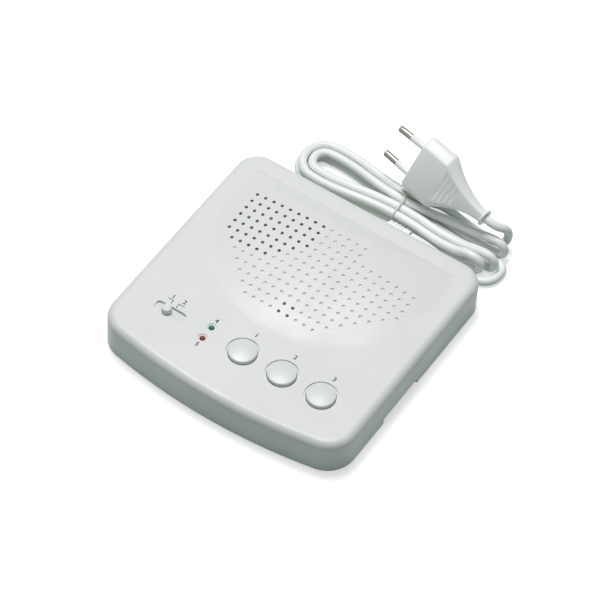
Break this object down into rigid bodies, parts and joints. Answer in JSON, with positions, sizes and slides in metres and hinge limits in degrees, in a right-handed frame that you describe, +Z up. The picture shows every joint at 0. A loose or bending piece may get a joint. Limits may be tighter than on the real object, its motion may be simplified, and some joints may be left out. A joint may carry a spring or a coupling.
{
  "type": "intercom station",
  "caption": "Flat desk intercom station with perforated speaker field, three press keys, channel slide, edge volume wheel and tied mains lead with two-pin plug.",
  "frame": {"origin": "on the table under the middle of the station's box, without the lead", "axes": "+X to the station's right, +Y to its rear, +Z up"},
  "size_m": [0.1549, 0.2043, 0.0455],
  "materials": {
    "cover": "fine matt moulded",
    "base": "fine matt moulded",
    "foot_rubber": "matt",
    "screw_steel": "zinc plated",
    "board": "laminate",
    "key": "satin moulded",
    "black_plastic": "moulded",
    "wheel": "moulded",
    "green_lens": "clear tinted",
    "red_lens": "clear tinted",
    "speaker_steel": "plated",
    "cone_film": "film",
    "coil_tape": "tape",
    "part_can": "plain",
    "fuse_glass": "plain",
    "terminal": "moulded",
    "wire_cover": "moulded",
    "cord": "satin",
    "clamp": "moulded",
    "tie": "coated wire",
    "plug": "satin moulded",
    "pin": "nickel plated",
    "sleeve": "moulded"
  },
  "bodies": {
    "station": {"top_cover": "cover", "base_cover": "base", "rubber_feet": "foot_rubber", "microphone_boot": "foot_rubber", "case_screws": "screw_steel", "board_screws": "screw_steel", "speaker_screws": "screw_steel", "transformer_screws": "screw_steel", "clamp_screws": "screw_steel", "circuit_board": "board", "push_switches": "black_plastic", "channel_switch": "black_plastic", "audio_chip": "black_plastic", "volume_pot": "black_plastic", "lamp_spacers": "black_plastic", "green_lamp": "green_lens", "red_lamp": "red_lens", "speaker_frame": "speaker_steel", "speaker_magnet": "speaker_steel", "microphone_capsule": "speaker_steel", "transformer_core": "speaker_steel", "speaker_cone": "cone_film", "transformer_bobbin": "coil_tape", "line_capacitor": "coil_tape", "smoothing_capacitor": "part_can", "coupling_coil": "part_can", "line_fuse": "fuse_glass", "terminal_block": "terminal", "mains_wires": "wire_cover", "inner_cord": "cord", "cord_lead": "cord", "cord_hank": "cord", "strain_relief": "cord", "cord_clamp": "clamp", "cord_tie": "tie", "plug_body": "plug", "plug_pins": "pin", "plug_sleeves": "sleeve"},
    "lock_key": {"lock_button": "key", "lock_plunger": "black_plastic"},
    "call_key": {"call_button": "key", "call_plunger": "black_plastic"},
    "talk_key": {"talk_button": "key", "talk_plunger": "black_plastic"},
    "channel_slider": {"channel_knob": "key"},
    "volume": {"volume_wheel": "wheel"}
  },
  "joints": [
    {"name": "lock_press", "type": "slide", "parent": "station", "child": "lock_key", "axis": [0, 0, -1], "range_m": [0, 0.001], "stiffness_N_per_m": 900, "springref_m": -0.0006},
    {"name": "call_press", "type": "slide", "parent": "station", "child": "call_key", "axis": [0, 0, -1], "range_m": [0, 0.001], "stiffness_N_per_m": 900, "springref_m": -0.0006},
    {"name": "talk_press", "type": "slide", "parent": "station", "child": "talk_key", "axis": [0, 0, -1], "range_m": [0, 0.001], "stiffness_N_per_m": 900, "springref_m": -0.0006},
    {"name": "channel_slide", "type": "slide", "parent": "station", "child": "channel_slider", "axis": [1, 0, 0], "range_m": [0, 0.0037]},
    {"name": "volume_turn", "type": "hinge", "parent": "station", "child": "volume", "pos_m": [0.06435, -0.00875, 0.003], "axis": [0, 0, 1], "range_deg": [-135, 135]}
  ]
}
